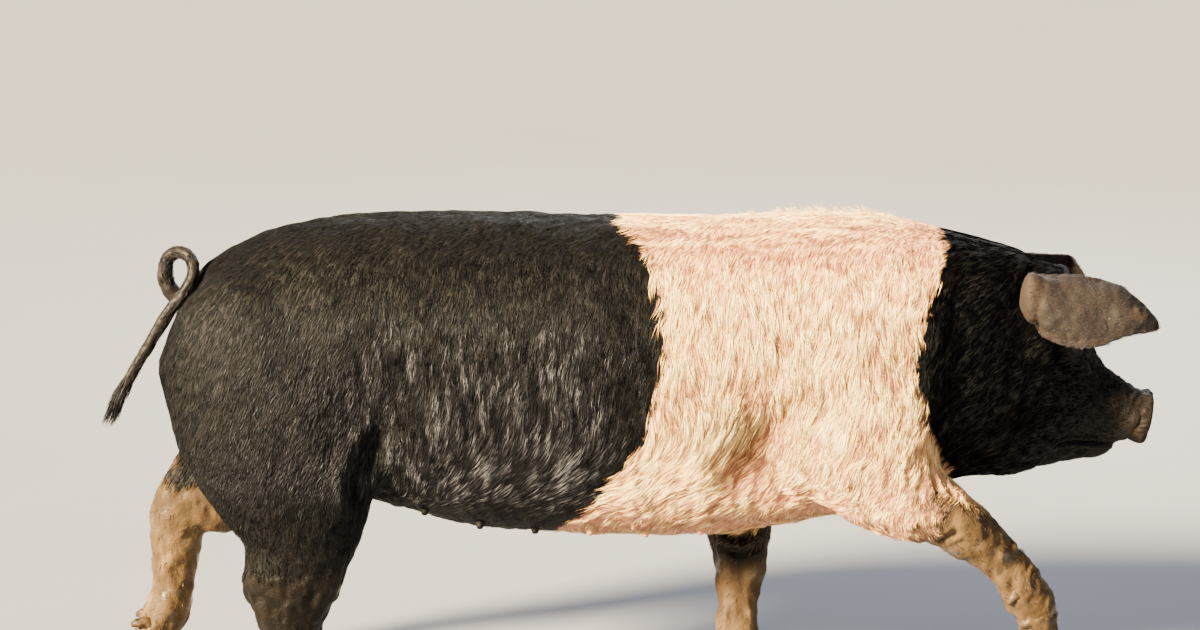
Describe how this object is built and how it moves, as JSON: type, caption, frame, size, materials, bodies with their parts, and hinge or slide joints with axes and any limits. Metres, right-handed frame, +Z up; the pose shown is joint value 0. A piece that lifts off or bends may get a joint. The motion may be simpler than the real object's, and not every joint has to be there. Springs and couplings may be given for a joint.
{
  "type": "saddleback pig model",
  "caption": "Life-size still model of a lop-eared saddleback pig in mid-stride, black with a white band over the shoulders and down the raised foreleg.",
  "frame": {"origin": "on the floor, below the centre of the model's bounding box", "axes": "+X the way the pig faces, -Y its right side, +Z up"},
  "size_m": [1.5827, 0.3912, 0.7547],
  "materials": {
    "black_coat": "short black bristle with a soft grey sheen",
    "white_coat": "creamy white bristle over pink skin",
    "muddy_leg": "skin under wet ochre mud",
    "ear_skin": "matt grey-brown skin with fine hair",
    "nose_skin": "damp dark skin",
    "claw_horn": "worn muddy horn",
    "eye": "wet dark brown"
  },
  "bodies": {
    "root": {"torso": "black_coat", "neck": "black_coat", "head": "black_coat", "lower_jaw": "black_coat", "snout": "nose_skin", "ear_right": "ear_skin", "ear_left": "ear_skin", "eye_right": "eye", "eye_left": "eye", "tail": "black_coat", "hind_right_upper": "black_coat", "hind_right_lower": "muddy_leg", "hind_right_foot": "muddy_leg", "hind_right_claw_inner": "claw_horn", "hind_right_claw_outer": "claw_horn", "hind_right_dewclaw_inner": "claw_horn", "hind_right_dewclaw_outer": "claw_horn", "hind_left_upper": "black_coat", "hind_left_lower": "muddy_leg", "hind_left_foot": "muddy_leg", "hind_left_claw_inner": "claw_horn", "hind_left_claw_outer": "claw_horn", "hind_left_dewclaw_inner": "claw_horn", "hind_left_dewclaw_outer": "claw_horn", "fore_right_upper": "white_coat", "fore_right_lower": "muddy_leg", "fore_right_foot": "muddy_leg", "fore_right_claw_inner": "claw_horn", "fore_right_claw_outer": "claw_horn", "fore_right_dewclaw_inner": "claw_horn", "fore_right_dewclaw_outer": "claw_horn", "fore_left_upper": "white_coat", "fore_left_lower": "muddy_leg", "fore_left_foot": "muddy_leg", "fore_left_claw_inner": "claw_horn", "fore_left_claw_outer": "claw_horn", "fore_left_dewclaw_inner": "claw_horn", "fore_left_dewclaw_outer": "claw_horn"}
  },
  "joints": []
}
